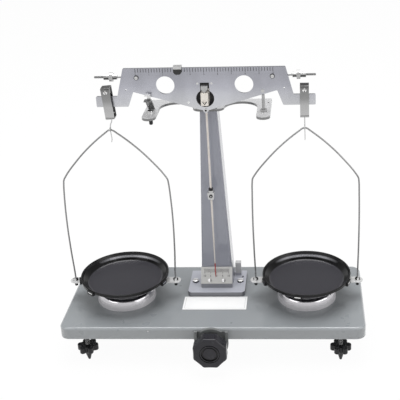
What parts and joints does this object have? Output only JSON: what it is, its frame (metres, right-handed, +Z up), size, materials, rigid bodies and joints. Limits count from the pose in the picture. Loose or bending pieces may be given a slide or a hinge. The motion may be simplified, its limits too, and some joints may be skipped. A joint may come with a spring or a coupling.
{
  "type": "laboratory balance scale",
  "caption": "Two-pan laboratory balance: knife-edge beam on a column over a tray base, pans hung from wire bows, pointer and scale, lifting knob and levelling feet.",
  "frame": {"origin": "on the table, under the centre of the overall footprint (base and front knob)", "axes": "+X along the beam to the right as the reader stands, +Y away from the reader, +Z up"},
  "size_m": [0.375, 0.176, 0.3628],
  "materials": {
    "grey_paint": "semi-gloss grey enamel",
    "casting_paint": "semi-gloss grey enamel over a casting",
    "black_plastic": "black moulded plastic",
    "black_enamel": "black enamel",
    "satin_metal": "satin",
    "steel": "plain machined steel",
    "chromed": "polished chrome",
    "label_white": "white printed plate, blank",
    "scale_white": "satin plate with ticks",
    "cream_brass": "dull plated brass",
    "agate": "polished hard stone",
    "red_paint": "red pointer tip",
    "rubber_foot": "black rubber",
    "dark_steel": "blackened steel"
  },
  "bodies": {
    "stand": {"base_plate": "grey_paint", "label_plate": "label_white", "pan_rests": "chromed", "foot_inserts": "steel", "rear_foot": "rubber_foot", "shaft_housing": "casting_paint", "rear_shaft_bracket": "casting_paint", "column_flange": "casting_paint", "column": "casting_paint", "column_screws": "chromed", "scale_block": "casting_paint", "pointer_scale": "scale_white", "scale_screws": "chromed", "arrest_arm": "casting_paint", "rod_bush": "cream_brass", "rest_post": "steel", "rest_post_nut": "steel", "rest_fork": "steel", "rest_screw": "chromed"},
    "lifting_knob": {"brake_knob": "black_plastic", "knob_cap": "black_plastic", "cam_shaft": "steel", "lift_cam": "steel"},
    "lift": {"lift_rod": "steel", "bearing_bracket": "dark_steel", "bearing_block": "agate"},
    "beam": {"beam": "satin_metal", "centre_knife": "steel", "knife_holder": "dark_steel", "end_knives": "steel", "arrest_stud": "steel", "balance_rods": "chromed", "beam_screws": "chromed", "pointer_rod": "cream_brass", "pointer_tip": "red_paint"},
    "pointer_weight": {"pointer_weight": "chromed", "weight_screw": "steel"},
    "rider": {"rider": "black_enamel"},
    "left_stirrup": {"left_stirrup": "satin_metal", "left_stirrup_bearing": "agate", "left_hook": "steel"},
    "left_hanger": {"left_hanger_bow": "chromed", "left_pan_carrier": "chromed", "left_lug_nuts": "dark_steel"},
    "left_pan": {"left_pan": "black_plastic"},
    "left_nut": {"left_nut_hub": "chromed"},
    "left_nut_disc": {"left_nut_disc": "chromed"},
    "left_foot_stem": {"left_foot_stem": "steel"},
    "left_foot_knob": {"left_foot_knob": "black_plastic"},
    "right_stirrup": {"right_stirrup": "satin_metal", "right_stirrup_bearing": "agate", "right_hook": "steel"},
    "right_hanger": {"right_hanger_bow": "chromed", "right_pan_carrier": "chromed", "right_lug_nuts": "dark_steel"},
    "right_pan": {"right_pan": "black_plastic"},
    "right_nut": {"right_nut_hub": "chromed"},
    "right_nut_disc": {"right_nut_disc": "chromed"},
    "right_foot_stem": {"right_foot_stem": "steel"},
    "right_foot_knob": {"right_foot_knob": "black_plastic"}
  },
  "joints": [
    {"name": "knob_turn", "type": "hinge", "parent": "stand", "child": "lifting_knob", "pos_m": [0, -0.077, 0.035], "axis": [0, 1, 0], "range_deg": [0, 90]},
    {"name": "lift_travel", "type": "slide", "parent": "stand", "child": "lift", "axis": [0, 0, 1], "range_m": [0, 0.003]},
    {"name": "beam_swing", "type": "hinge", "parent": "lift", "child": "beam", "pos_m": [0, 0.0125, 0.3315], "axis": [0, 1, 0], "range_deg": [-2.4, 2.4]},
    {"name": "weight_slide", "type": "slide", "parent": "beam", "child": "pointer_weight", "axis": [0, 0, 1], "range_m": [-0.018, 0.08]},
    {"name": "rider_slide", "type": "slide", "parent": "beam", "child": "rider", "axis": [1, 0, 0], "range_m": [-0.058, 0.118]},
    {"name": "left_stirrup_swing", "type": "hinge", "parent": "beam", "child": "left_stirrup", "pos_m": [-0.116, 0.0125, 0.3315], "axis": [0, 1, 0], "range_deg": [-0.4, 4.6]},
    {"name": "left_hanger_swing", "type": "hinge", "parent": "left_stirrup", "child": "left_hanger", "pos_m": [-0.116, 0.0125, 0.2845], "axis": [1, 0, 0], "range_deg": [-6, 6]},
    {"name": "left_pan_lift_off", "type": "slide", "parent": "left_hanger", "child": "left_pan", "axis": [0, -0.9, 0.4359], "range_m": [0, 0.14]},
    {"name": "left_nut_travel", "type": "slide", "parent": "beam", "child": "left_nut", "axis": [-1, 0, 0], "range_m": [-0.0035, 0.01]},
    {"name": "left_nut_turn", "type": "hinge", "parent": "left_nut", "child": "left_nut_disc", "pos_m": [-0.1093, 0.0156, 0.3493], "axis": [-1, 0, 0], "range_deg": [-2520, 7200]},
    {"name": "left_foot_travel", "type": "slide", "parent": "stand", "child": "left_foot_stem", "axis": [0, 0, 1], "range_m": [-0.004, 0.004]},
    {"name": "left_foot_turn", "type": "hinge", "parent": "left_foot_stem", "child": "left_foot_knob", "pos_m": [-0.1575, -0.047, 0.018], "axis": [0, 0, 1], "range_deg": [-1440, 1440]},
    {"name": "right_stirrup_swing", "type": "hinge", "parent": "beam", "child": "right_stirrup", "pos_m": [0.116, 0.0125, 0.3315], "axis": [0, 1, 0], "range_deg": [-2.8, 2.8]},
    {"name": "right_hanger_swing", "type": "hinge", "parent": "right_stirrup", "child": "right_hanger", "pos_m": [0.116, 0.0125, 0.2845], "axis": [1, 0, 0], "range_deg": [-6, 6]},
    {"name": "right_pan_lift_off", "type": "slide", "parent": "right_hanger", "child": "right_pan", "axis": [0, -0.9, 0.4359], "range_m": [0, 0.14]},
    {"name": "right_nut_travel", "type": "slide", "parent": "beam", "child": "right_nut", "axis": [1, 0, 0], "range_m": [-0.0035, 0.01]},
    {"name": "right_nut_turn", "type": "hinge", "parent": "right_nut", "child": "right_nut_disc", "pos_m": [0.1093, 0.0156, 0.3493], "axis": [1, 0, 0], "range_deg": [-2520, 7200]},
    {"name": "right_foot_travel", "type": "slide", "parent": "stand", "child": "right_foot_stem", "axis": [0, 0, 1], "range_m": [-0.004, 0.004]},
    {"name": "right_foot_turn", "type": "hinge", "parent": "right_foot_stem", "child": "right_foot_knob", "pos_m": [0.1575, -0.047, 0.018], "axis": [0, 0, 1], "range_deg": [-1440, 1440]}
  ],
  "couplings": [
    {"joint": "knob_turn", "follows": "lift_travel", "rad_per_m": 523.6},
    {"joint": "left_nut_turn", "follows": "left_nut_travel", "rad_per_m": 12566},
    {"joint": "left_foot_turn", "follows": "left_foot_travel", "rad_per_m": 6283.2},
    {"joint": "right_nut_turn", "follows": "right_nut_travel", "rad_per_m": 12566},
    {"joint": "right_foot_turn", "follows": "right_foot_travel", "rad_per_m": 6283.2}
  ]
}
